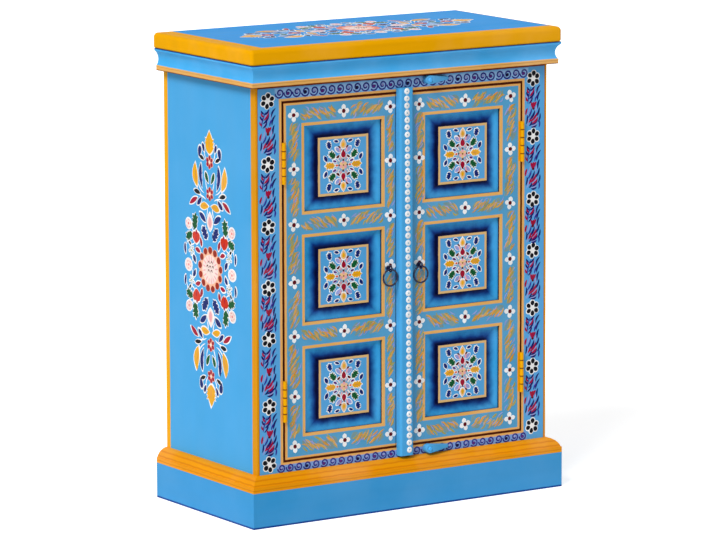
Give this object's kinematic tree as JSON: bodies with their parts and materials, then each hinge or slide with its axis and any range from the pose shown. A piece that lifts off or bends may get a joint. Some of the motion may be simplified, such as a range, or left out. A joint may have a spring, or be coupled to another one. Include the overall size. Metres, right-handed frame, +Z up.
{
  "type": "painted sideboard",
  "caption": "Painted two-door sideboard with raised panel doors on butt hinges, ring pulls, turn buttons, a shelf, a moulded cornice and an overhanging plinth.",
  "frame": {"origin": "on the floor under the middle of the whole piece", "axes": "+Z up, -Y towards the doors at the front, +X to the right seen from the front"},
  "size_m": [0.6, 0.3, 0.765],
  "materials": {
    "blue_paint": "satin sky-blue paint",
    "yellow_paint": "satin amber paint",
    "frame_paint": "satin blue paint with painted flowers",
    "door_paint": "satin grey-blue paint with ochre strokes",
    "panel_paint": "satin blue paint shaded navy round the field",
    "inner_wood": "bare sanded wood",
    "hinge_metal": "amber paint over steel",
    "pull_metal": "worn blue paint over steel",
    "nail_steel": "blue paint over steel"
  },
  "bodies": {
    "carcase": {"top_board": "blue_paint", "cornice_front": "blue_paint", "cornice_left": "blue_paint", "cornice_right": "blue_paint", "plinth_front": "blue_paint", "plinth_left": "blue_paint", "plinth_right": "blue_paint", "plinth_moulding_front": "yellow_paint", "plinth_moulding_left": "yellow_paint", "plinth_moulding_right": "yellow_paint", "side_panel_left": "blue_paint", "side_panel_right": "blue_paint", "back_panel": "inner_wood", "bottom_board": "inner_wood", "shelf": "inner_wood", "bottom_cleats": "inner_wood", "shelf_cleats": "inner_wood", "frame_stile_left": "frame_paint", "frame_stile_right": "frame_paint", "frame_rail_top": "frame_paint", "frame_rail_bottom": "frame_paint", "left_upper_hinge_frame_leaf": "hinge_metal", "left_lower_hinge_frame_leaf": "hinge_metal", "right_upper_hinge_frame_leaf": "hinge_metal", "right_lower_hinge_frame_leaf": "hinge_metal", "hinge_pins": "hinge_metal", "top_button_nail": "nail_steel", "bottom_button_nail": "nail_steel"},
    "left_door": {"left_door_hinge_stile": "door_paint", "left_door_meeting_stile": "door_paint", "left_door_rail_top": "door_paint", "left_door_rail_upper": "door_paint", "left_door_rail_lower": "door_paint", "left_door_rail_bottom": "door_paint", "left_door_panel_top": "panel_paint", "left_door_panel_middle": "panel_paint", "left_door_panel_bottom": "panel_paint", "left_upper_hinge_door_leaf": "hinge_metal", "left_lower_hinge_door_leaf": "hinge_metal", "left_pull_eye": "pull_metal"},
    "right_door": {"right_door_hinge_stile": "door_paint", "right_door_meeting_stile": "door_paint", "right_door_rail_top": "door_paint", "right_door_rail_upper": "door_paint", "right_door_rail_lower": "door_paint", "right_door_rail_bottom": "door_paint", "right_door_panel_top": "panel_paint", "right_door_panel_middle": "panel_paint", "right_door_panel_bottom": "panel_paint", "right_upper_hinge_door_leaf": "hinge_metal", "right_lower_hinge_door_leaf": "hinge_metal", "right_pull_eye": "pull_metal", "meeting_strip": "blue_paint"},
    "left_ring": {"left_pull_ring": "pull_metal"},
    "right_ring": {"right_pull_ring": "pull_metal"},
    "top_button": {"top_turn_button": "blue_paint"},
    "bottom_button": {"bottom_turn_button": "blue_paint"}
  },
  "joints": [
    {"name": "left_door_swing", "type": "hinge", "parent": "carcase", "child": "left_door", "pos_m": [-0.23, -0.1336, 0.388], "axis": [0, 0, -1], "range_deg": [0, 180]},
    {"name": "right_door_swing", "type": "hinge", "parent": "carcase", "child": "right_door", "pos_m": [0.23, -0.1336, 0.388], "axis": [0, 0, 1], "range_deg": [0, 180]},
    {"name": "left_ring_swing", "type": "hinge", "parent": "left_door", "child": "left_ring", "pos_m": [-0.0315, -0.1379, 0.3927], "axis": [-1, 0, 0], "range_deg": [-11, 180]},
    {"name": "right_ring_swing", "type": "hinge", "parent": "right_door", "child": "right_ring", "pos_m": [0.0275, -0.1379, 0.3927], "axis": [-1, 0, 0], "range_deg": [-11, 180]},
    {"name": "top_button_turn", "type": "hinge", "parent": "carcase", "child": "top_button", "pos_m": [0.0425, -0.1309, 0.6946], "axis": [0, -1, 0], "range_deg": [-90, 0]},
    {"name": "bottom_button_turn", "type": "hinge", "parent": "carcase", "child": "bottom_button", "pos_m": [0.0425, -0.1309, 0.0912], "axis": [0, 1, 0], "range_deg": [-90, 0]}
  ]
}
